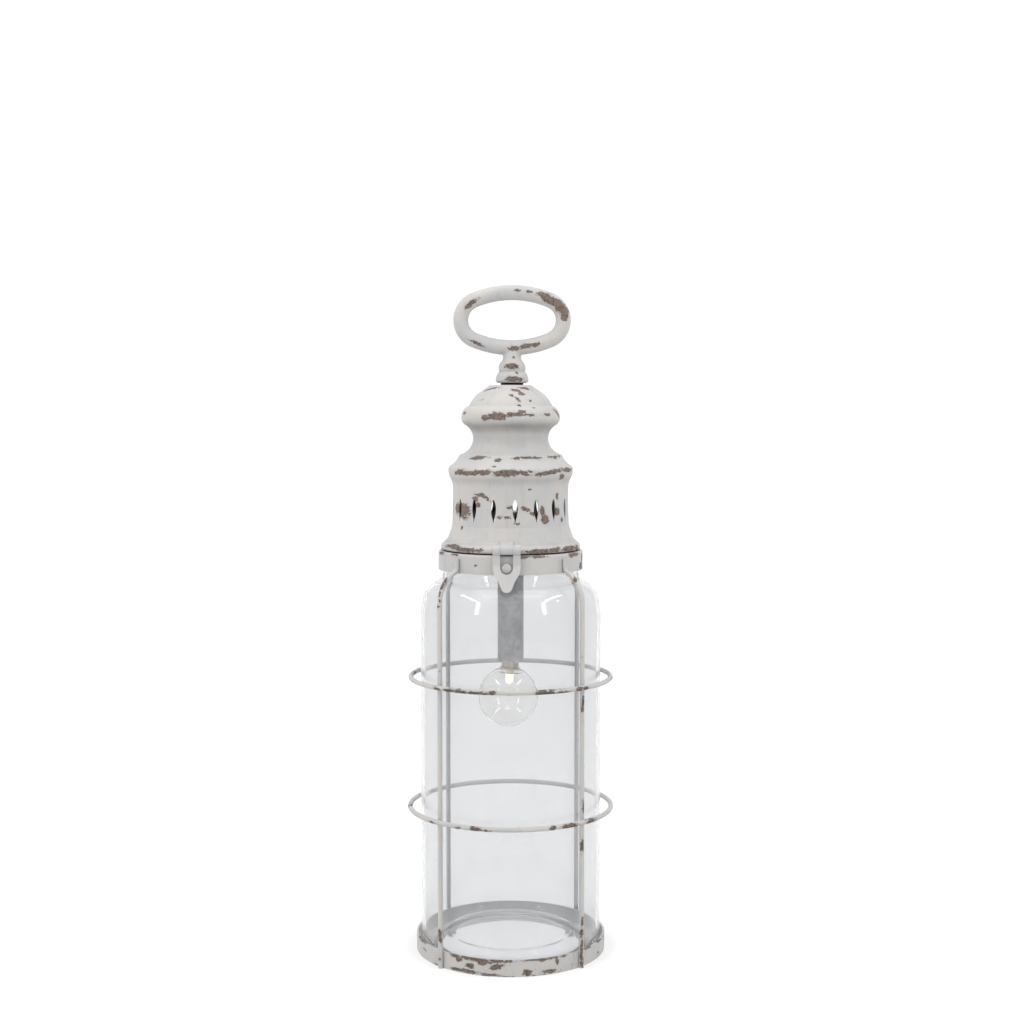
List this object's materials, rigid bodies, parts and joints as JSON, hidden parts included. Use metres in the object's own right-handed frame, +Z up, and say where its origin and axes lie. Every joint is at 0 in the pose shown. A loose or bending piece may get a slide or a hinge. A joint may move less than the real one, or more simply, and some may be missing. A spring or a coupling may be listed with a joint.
{
  "type": "candle lantern",
  "caption": "Glass jar in a chipped white wire cage, with a turned metal lid, oval carry ring, hasp latches, and a battery bulb hung inside.",
  "frame": {"origin": "centre of the base ring, on the surface it stands on", "axes": "+Z up along the jar's axis, -Y towards the front latch, +X to the right seen from the front"},
  "size_m": [0.1746, 0.1746, 0.5618],
  "materials": {
    "chipped_paint": "matt off-white paint, chipped to brown primer and metal along edges and ridges",
    "jar_glass": "clear, polished",
    "bulb_glass": "clear, thin",
    "dark_rubber": "matt",
    "zinc_steel": "zinc plated",
    "tube_metal": "satin grey",
    "bulb_metal": "drawn metal",
    "cell_wrap": "plain wrapper with a metal end",
    "white_plastic": "moulded",
    "lit_lens": "warm lit lens",
    "black_plastic": "moulded"
  },
  "bodies": {
    "cage": {"base_ring": "chipped_paint", "glass_jar": "jar_glass", "rod_front_left": "chipped_paint", "rod_front_right": "chipped_paint", "rod_rear_left": "chipped_paint", "rod_rear_right": "chipped_paint", "upper_hoop": "chipped_paint", "lower_hoop": "chipped_paint", "collar_band": "chipped_paint", "front_stud": "chipped_paint", "rear_stud": "chipped_paint", "collar_gasket": "dark_rubber"},
    "lid": {"lid_shell": "chipped_paint", "handle": "chipped_paint", "handle_washer": "dark_rubber", "handle_screw": "zinc_steel", "front_hinge_leaf": "chipped_paint", "rear_hinge_leaf": "chipped_paint", "front_hinge_pin": "zinc_steel", "rear_hinge_pin": "zinc_steel", "lamp_plate": "zinc_steel", "plate_screws": "zinc_steel", "battery_tube": "tube_metal", "tube_lock_ring": "zinc_steel", "tube_cap": "tube_metal", "battery_lower": "cell_wrap", "battery_upper": "cell_wrap", "battery_sleeve": "white_plastic", "contact_spring": "zinc_steel", "lamp_holder": "white_plastic", "bulb_cap": "bulb_metal", "bulb_globe": "bulb_glass", "led_mount": "white_plastic", "led": "lit_lens", "switch_housing": "black_plastic"},
    "front_latch": {"front_hasp": "chipped_paint"},
    "rear_latch": {"rear_hasp": "chipped_paint"},
    "switch": {"switch_slider": "black_plastic"}
  },
  "joints": [
    {"name": "lid_lift", "type": "slide", "parent": "cage", "child": "lid", "axis": [0, 0, 1], "range_m": [0, 0.19]},
    {"name": "front_latch_swing", "type": "hinge", "parent": "lid", "child": "front_latch", "pos_m": [-0.0036, -0.0636, 0.345], "axis": [-1, 0, 0], "range_deg": [0, 190]},
    {"name": "rear_latch_swing", "type": "hinge", "parent": "lid", "child": "rear_latch", "pos_m": [0.0036, 0.0636, 0.345], "axis": [1, 0, 0], "range_deg": [0, 190]},
    {"name": "switch_slide", "type": "slide", "parent": "lid", "child": "switch", "axis": [0, 0, 1], "range_m": [0, 0.0042]}
  ]
}
